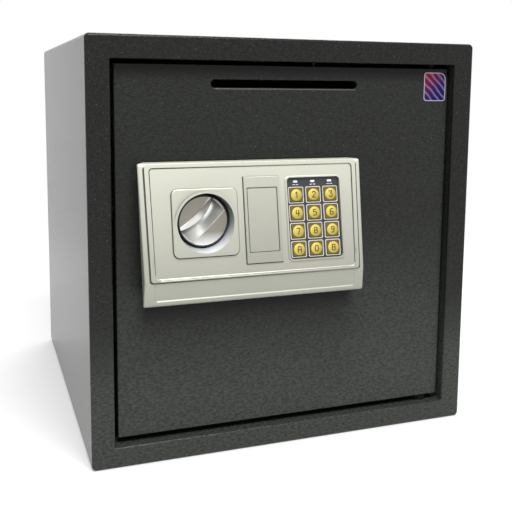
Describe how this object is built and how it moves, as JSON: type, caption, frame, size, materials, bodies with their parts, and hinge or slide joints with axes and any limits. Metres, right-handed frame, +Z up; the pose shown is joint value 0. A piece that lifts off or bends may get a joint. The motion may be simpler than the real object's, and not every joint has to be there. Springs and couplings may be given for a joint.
{
  "type": "drop safe",
  "caption": "Small steel safe with a deposit slot in its recessed door and a digital lock with a turning knob, keypad and key cover.",
  "frame": {"origin": "on the floor, under the middle of the cabinet, which leaves the lock fascia out", "axes": "+Z up, the door faces -Y, +X to the right as seen from the front"},
  "size_m": [0.346, 0.3769, 0.35],
  "materials": {
    "cabinet_paint": "charcoal hammered powder paint",
    "bright_steel": "bright turned steel",
    "zinc_steel": "zinc passivated steel",
    "fascia_silver": "silver painted plastic",
    "knob_metal": "satin metal",
    "keypad_dark": "dark slate plastic",
    "black_plastic": "black moulded plastic",
    "key_gold": "gold coloured",
    "lamp_white": "white lens",
    "board_green": "green circuit board",
    "lock_brass": "turned brass",
    "button_red": "red",
    "cell_wrap": "wrapped cell",
    "mat_felt": "dark felt"
  },
  "bodies": {
    "cabinet": {"cabinet_wrap": "cabinet_paint", "back_panel": "cabinet_paint", "hinge_bracket_upper": "bright_steel", "hinge_bracket_lower": "bright_steel", "hinge_washer": "bright_steel", "floor_mat": "mat_felt"},
    "door": {"door_plate": "cabinet_paint", "slot_hood": "cabinet_paint", "latch_stile": "cabinet_paint", "hinge_stile": "cabinet_paint", "hinge_pin_upper": "bright_steel", "hinge_pin_lower": "bright_steel", "guide_stud_upper": "bright_steel", "guide_stud_lower": "bright_steel", "knob_bushing": "black_plastic", "override_lock_body": "lock_brass", "solenoid": "zinc_steel", "battery_box": "black_plastic", "battery_1": "cell_wrap", "battery_2": "cell_wrap", "battery_3": "cell_wrap", "battery_4": "cell_wrap", "lock_cover": "cabinet_paint", "cover_screw_1": "bright_steel", "cover_screw_2": "bright_steel", "cover_screw_3": "bright_steel", "cover_screw_4": "bright_steel", "lock_fascia": "fascia_silver", "fascia_base": "black_plastic", "keypad_plate": "keypad_dark", "status_lamp_left": "lamp_white", "status_lamp_middle": "lamp_white", "status_lamp_right": "lamp_white", "circuit_board": "board_green"},
    "knob_set": {"knob": "knob_metal", "knob_spindle": "zinc_steel", "knob_crank": "zinc_steel"},
    "bolt_work": {"bolt_carriage": "zinc_steel", "bolt_upper": "bright_steel", "bolt_lower": "bright_steel"},
    "plunger": {"solenoid_plunger": "bright_steel"},
    "override_set": {"override_plug": "lock_brass", "override_cam": "zinc_steel"},
    "key_cover_cap": {"key_cover": "fascia_silver"},
    "battery_lid_slide": {"battery_lid": "black_plastic"},
    "reset": {"reset_button": "button_red"},
    "press_1": {"key_1": "key_gold"},
    "press_2": {"key_2": "key_gold"},
    "press_3": {"key_3": "key_gold"},
    "press_4": {"key_4": "key_gold"},
    "press_5": {"key_5": "key_gold"},
    "press_6": {"key_6": "key_gold"},
    "press_7": {"key_7": "key_gold"},
    "press_8": {"key_8": "key_gold"},
    "press_9": {"key_9": "key_gold"},
    "press_a": {"key_a": "key_gold"},
    "press_0": {"key_0": "key_gold"},
    "press_b": {"key_b": "key_gold"}
  },
  "joints": [
    {"name": "door_swing", "type": "hinge", "parent": "cabinet", "child": "door", "pos_m": [0.1367, -0.161, 0.175], "axis": [0, 0, 1], "range_deg": [0, 105]},
    {"name": "knob_turn", "type": "hinge", "parent": "door", "child": "knob_set", "pos_m": [-0.0827, -0.18, 0.203], "axis": [0, 1, 0], "range_deg": [0, 90]},
    {"name": "bolt_throw", "type": "slide", "parent": "door", "child": "bolt_work", "axis": [-1, 0, 0], "range_m": [0, 0.01414]},
    {"name": "plunger_travel", "type": "slide", "parent": "door", "child": "plunger", "axis": [0, 0, 1], "range_m": [0, 0.006]},
    {"name": "override_turn", "type": "hinge", "parent": "door", "child": "override_set", "pos_m": [-0.03405, -0.18, 0.203], "axis": [0, 1, 0], "range_deg": [0, 90]},
    {"name": "key_cover_pull", "type": "slide", "parent": "door", "child": "key_cover_cap", "axis": [0, -0.9831, 0.1832], "range_m": [0, 0.03]},
    {"name": "battery_lid_pull", "type": "slide", "parent": "door", "child": "battery_lid_slide", "axis": [1, 0, 0], "range_m": [0, 0.06]},
    {"name": "reset_press", "type": "slide", "parent": "door", "child": "reset", "axis": [0, -1, 0], "range_m": [0, 0.002], "stiffness_N_per_m": 600},
    {"name": "key_1_press", "type": "slide", "parent": "door", "child": "press_1", "axis": [0, 0.9831, -0.1832], "range_m": [0, 0.001], "stiffness_N_per_m": 800},
    {"name": "key_2_press", "type": "slide", "parent": "door", "child": "press_2", "axis": [0, 0.9831, -0.1832], "range_m": [0, 0.001], "stiffness_N_per_m": 800},
    {"name": "key_3_press", "type": "slide", "parent": "door", "child": "press_3", "axis": [0, 0.9831, -0.1832], "range_m": [0, 0.001], "stiffness_N_per_m": 800},
    {"name": "key_4_press", "type": "slide", "parent": "door", "child": "press_4", "axis": [0, 0.9831, -0.1832], "range_m": [0, 0.001], "stiffness_N_per_m": 800},
    {"name": "key_5_press", "type": "slide", "parent": "door", "child": "press_5", "axis": [0, 0.9831, -0.1832], "range_m": [0, 0.001], "stiffness_N_per_m": 800},
    {"name": "key_6_press", "type": "slide", "parent": "door", "child": "press_6", "axis": [0, 0.9831, -0.1832], "range_m": [0, 0.001], "stiffness_N_per_m": 800},
    {"name": "key_7_press", "type": "slide", "parent": "door", "child": "press_7", "axis": [0, 0.9831, -0.1832], "range_m": [0, 0.001], "stiffness_N_per_m": 800},
    {"name": "key_8_press", "type": "slide", "parent": "door", "child": "press_8", "axis": [0, 0.9831, -0.1832], "range_m": [0, 0.001], "stiffness_N_per_m": 800},
    {"name": "key_9_press", "type": "slide", "parent": "door", "child": "press_9", "axis": [0, 0.9831, -0.1832], "range_m": [0, 0.001], "stiffness_N_per_m": 800},
    {"name": "key_a_press", "type": "slide", "parent": "door", "child": "press_a", "axis": [0, 0.9831, -0.1832], "range_m": [0, 0.001], "stiffness_N_per_m": 800},
    {"name": "key_0_press", "type": "slide", "parent": "door", "child": "press_0", "axis": [0, 0.9831, -0.1832], "range_m": [0, 0.001], "stiffness_N_per_m": 800},
    {"name": "key_b_press", "type": "slide", "parent": "door", "child": "press_b", "axis": [0, 0.9831, -0.1832], "range_m": [0, 0.001], "stiffness_N_per_m": 800}
  ],
  "couplings": [
    {"joint": "knob_turn", "follows": "bolt_throw", "rad_per_m": 111.07}
  ]
}
